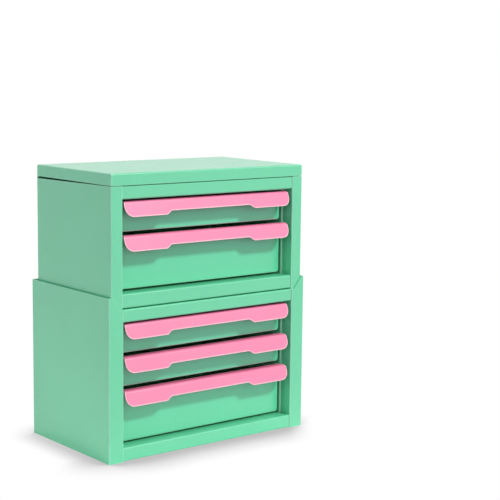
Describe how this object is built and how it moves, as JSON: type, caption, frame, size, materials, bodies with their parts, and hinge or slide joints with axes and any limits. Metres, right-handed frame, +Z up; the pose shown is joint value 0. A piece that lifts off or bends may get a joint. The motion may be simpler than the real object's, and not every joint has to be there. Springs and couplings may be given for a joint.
{
  "type": "stackable desk drawer organizer",
  "caption": "Stackable desk organizer of folded sheet metal: an upper drawer cabinet nests in the rim of a lower one, with sliding drawers, full-width hooded pulls and a hinged lid.",
  "frame": {"origin": "middle of the plan, pulls included, on the surface that the stack stands on", "axes": "+Z up, -Y towards the drawer fronts, +X to the right of someone who faces them"},
  "size_m": [0.18, 0.1074, 0.206],
  "materials": {
    "mint_paint": "satin powder coat",
    "pink_paint": "satin powder coat",
    "hinge_steel": "zinc plated",
    "rivet": "plain"
  },
  "bodies": {
    "lower_cabinet": {"lower_wrap": "mint_paint", "lower_floor": "mint_paint", "lower_deck": "mint_paint", "lower_runner_right": "mint_paint", "lower_runner_left": "mint_paint"},
    "upper_cabinet": {"upper_wrap": "mint_paint", "upper_floor": "mint_paint", "upper_tray": "mint_paint", "upper_runner_right": "mint_paint", "upper_runner_left": "mint_paint", "hinge_body_leaves": "hinge_steel", "hinge_pins": "hinge_steel", "hinge_body_rivets": "rivet"},
    "top_lid": {"lid": "mint_paint", "hinge_lid_leaves": "hinge_steel", "hinge_lid_rivets": "rivet"},
    "lower_deep_drawer": {"lower_deep_drawer_tray": "mint_paint", "lower_deep_drawer_front": "mint_paint", "lower_deep_drawer_pull": "pink_paint", "lower_deep_drawer_rivets": "rivet"},
    "lower_middle_drawer": {"lower_middle_drawer_tray": "mint_paint", "lower_middle_drawer_front": "mint_paint", "lower_middle_drawer_pull": "pink_paint", "lower_middle_drawer_rivets": "rivet"},
    "lower_top_drawer": {"lower_top_drawer_tray": "mint_paint", "lower_top_drawer_front": "mint_paint", "lower_top_drawer_pull": "pink_paint", "lower_top_drawer_rivets": "rivet"},
    "upper_deep_drawer": {"upper_deep_drawer_tray": "mint_paint", "upper_deep_drawer_front": "mint_paint", "upper_deep_drawer_pull": "pink_paint", "upper_deep_drawer_rivets": "rivet"},
    "upper_top_drawer": {"upper_top_drawer_tray": "mint_paint", "upper_top_drawer_front": "mint_paint", "upper_top_drawer_pull": "pink_paint", "upper_top_drawer_rivets": "rivet"}
  },
  "joints": [
    {"name": "upper_lift", "type": "slide", "parent": "lower_cabinet", "child": "upper_cabinet", "axis": [0, 0, 1], "range_m": [0, 0.04]},
    {"name": "lid_hinge", "type": "hinge", "parent": "upper_cabinet", "child": "top_lid", "pos_m": [0, 0.05155, 0.1974], "axis": [-1, 0, 0], "range_deg": [0, 110]},
    {"name": "lower_deep_drawer_slide", "type": "slide", "parent": "lower_cabinet", "child": "lower_deep_drawer", "axis": [0, -1, 0], "range_m": [0, 0.06]},
    {"name": "lower_middle_drawer_slide", "type": "slide", "parent": "lower_cabinet", "child": "lower_middle_drawer", "axis": [0, -1, 0], "range_m": [0, 0.06]},
    {"name": "lower_top_drawer_slide", "type": "slide", "parent": "lower_cabinet", "child": "lower_top_drawer", "axis": [0, -1, 0], "range_m": [0, 0.06]},
    {"name": "upper_deep_drawer_slide", "type": "slide", "parent": "upper_cabinet", "child": "upper_deep_drawer", "axis": [0, -1, 0], "range_m": [0, 0.06]},
    {"name": "upper_top_drawer_slide", "type": "slide", "parent": "upper_cabinet", "child": "upper_top_drawer", "axis": [0, -1, 0], "range_m": [0, 0.06]}
  ]
}
